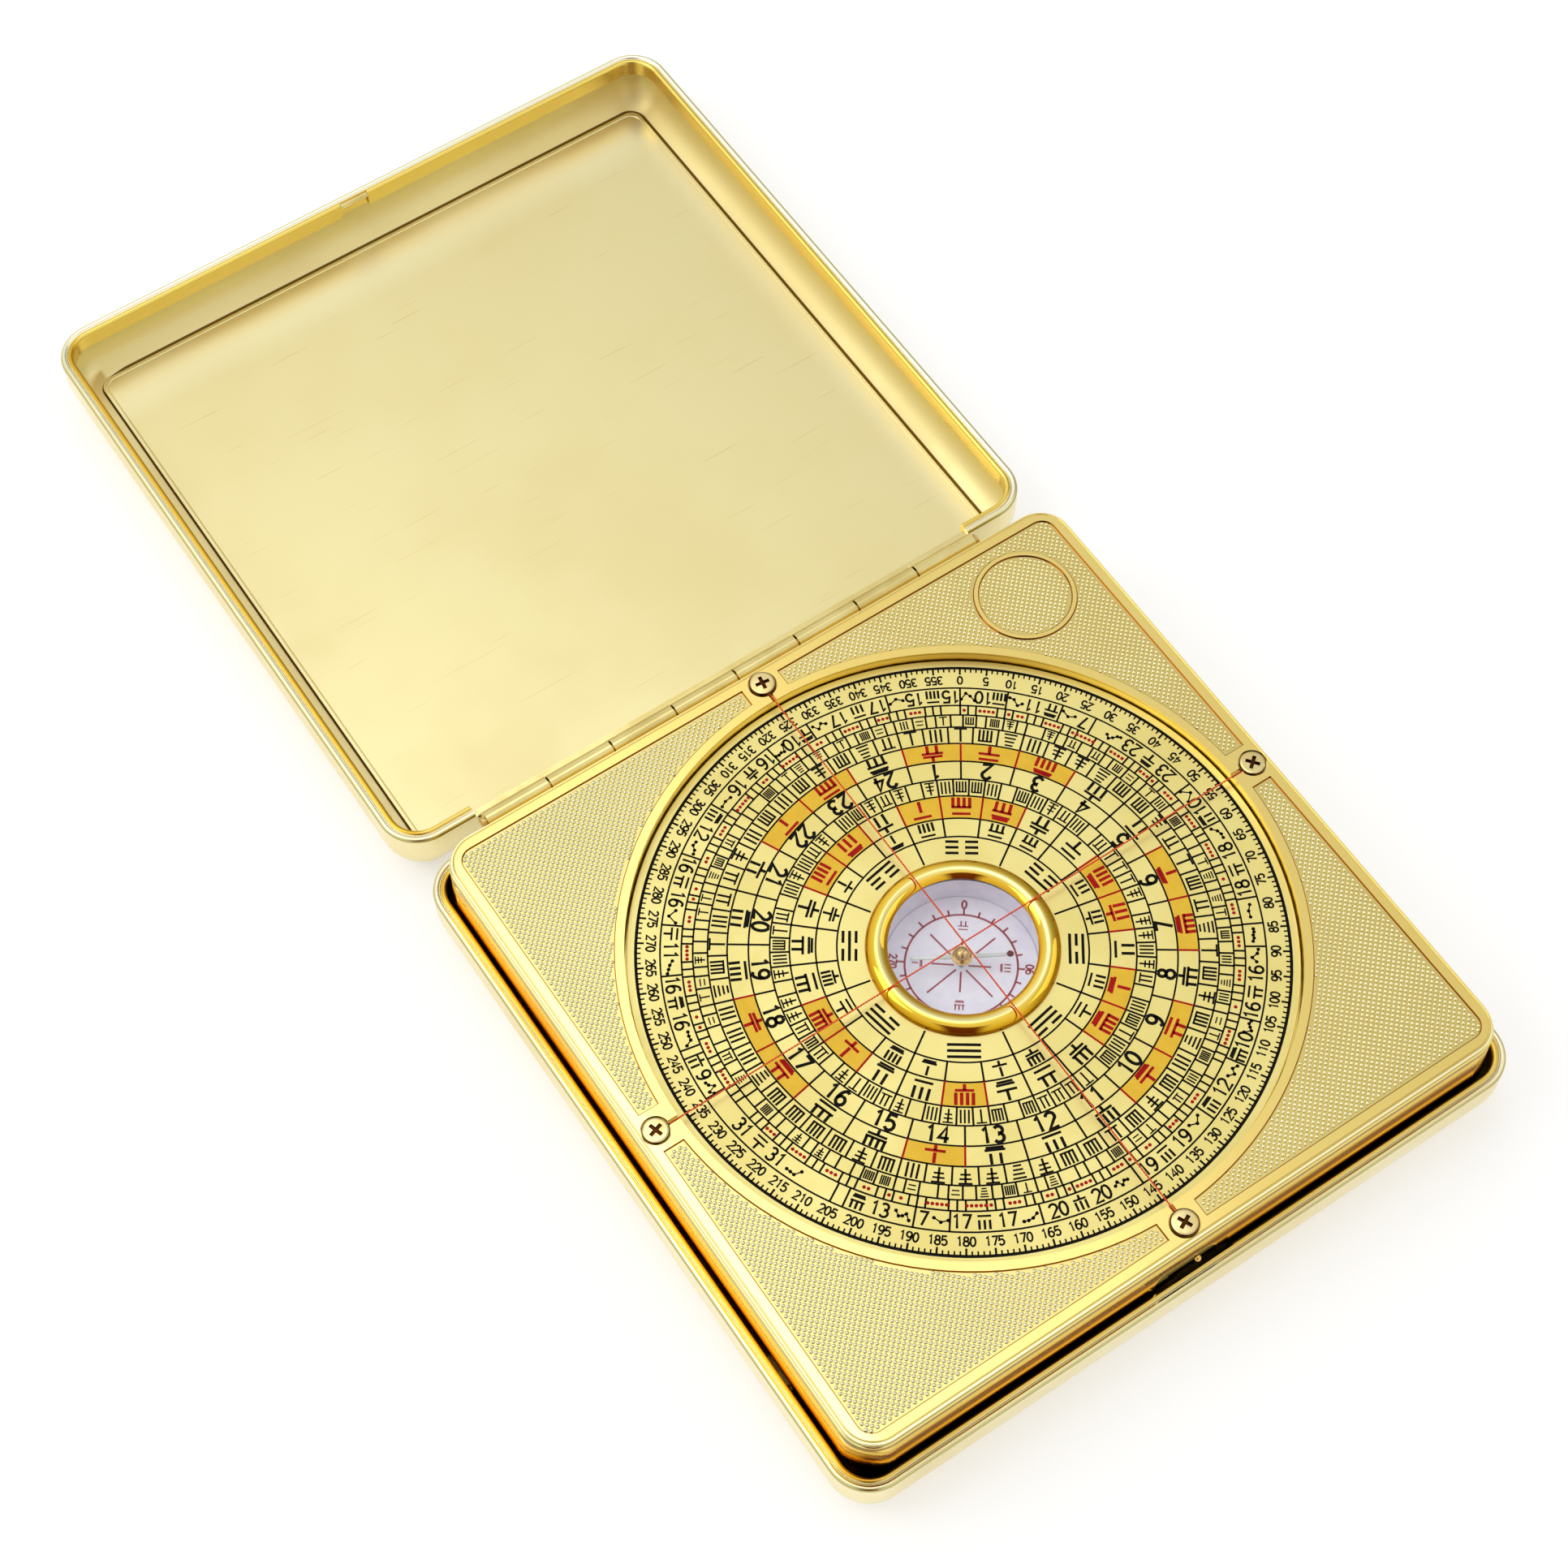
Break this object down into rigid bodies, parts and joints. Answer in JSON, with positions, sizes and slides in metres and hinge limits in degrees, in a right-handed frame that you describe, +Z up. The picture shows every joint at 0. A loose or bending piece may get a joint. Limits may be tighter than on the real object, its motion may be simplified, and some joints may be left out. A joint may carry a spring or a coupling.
{
  "type": "feng shui compass",
  "caption": "Square gold pocket compass: a hinged flat case holds a printed rotating dial with a magnetic needle capsule under crossed red threads.",
  "frame": {"origin": "on the table under the axis of the dial, on the tray's flat bottom", "axes": "+X along the hinge to the right, +Y from the tray to the open lid, +Z up along the dial's axis"},
  "size_m": [0.0986, 0.199, 0.0173],
  "materials": {
    "case_satin_gold": "satin, fine grain along the hinge",
    "rim_gold": "bright drawn",
    "hinge_gold": "polished",
    "pin_brass": "turned, peened ends",
    "plate_polished_gold": "polished, with fields of fine embossed mesh",
    "screw_steel": "bright, warm tint",
    "thread_red": "twisted thread, red-orange",
    "clip_steel": "bright spring strip",
    "nub_gold": "turned and polished",
    "lining_satin_gold": "satin, very fine grain",
    "catch_gold": "bright spring strip",
    "dial_printed_gold": "gold face printed with rings of marks in black and red",
    "cup_white": "fine moulded surface",
    "keeper_steel": "spring steel",
    "card_white": "white card with a dark red scale",
    "pivot_steel": "ground to a point",
    "capsule_glass": "clear flat glass",
    "seal_black": "thin flat seal",
    "bezel_polished_gold": "highly polished",
    "needle_steel": "thin bright strip",
    "cap_brass": "turned",
    "jewel_red": "polished synthetic ruby",
    "bead_red_paint": "dark red paint on a brass bead"
  },
  "bodies": {
    "tray": {"tray_shell": "case_satin_gold", "tray_rim_strip": "rim_gold", "tray_hinge_leaf": "hinge_gold", "hinge_pin": "pin_brass", "face_plate": "plate_polished_gold", "plate_screws": "screw_steel", "crosshair_thread_lower": "thread_red", "crosshair_thread_upper": "thread_red", "side_clips": "clip_steel", "catch_nub": "nub_gold"},
    "lid": {"lid_shell": "case_satin_gold", "lid_rim_strip": "rim_gold", "lid_lining_panel": "lining_satin_gold", "lid_hinge_leaf": "hinge_gold", "lid_catch": "catch_gold"},
    "dial": {"dial_disc": "dial_printed_gold", "compass_cup": "cup_white", "dial_retaining_ring": "keeper_steel", "compass_card": "card_white", "pivot_pin": "pivot_steel", "compass_glass": "capsule_glass", "glass_seal_ring": "seal_black", "compass_bezel": "bezel_polished_gold"},
    "needle": {"needle_blade": "needle_steel", "needle_cap": "cap_brass", "cap_jewel": "jewel_red", "needle_bead": "bead_red_paint"}
  },
  "joints": [
    {"name": "lid_hinge", "type": "hinge", "parent": "tray", "child": "lid", "pos_m": [0, 0.0506, 0.00945], "axis": [1, 0, 0], "range_deg": [0, 180]},
    {"name": "dial_spin", "type": "hinge", "parent": "tray", "child": "dial", "pos_m": [0, 0, 0.0151], "axis": [0, 0, 1], "continuous": true},
    {"name": "needle_spin", "type": "hinge", "parent": "dial", "child": "needle", "pos_m": [0, 0, 0.0126], "axis": [0, 0, 1], "continuous": true}
  ]
}
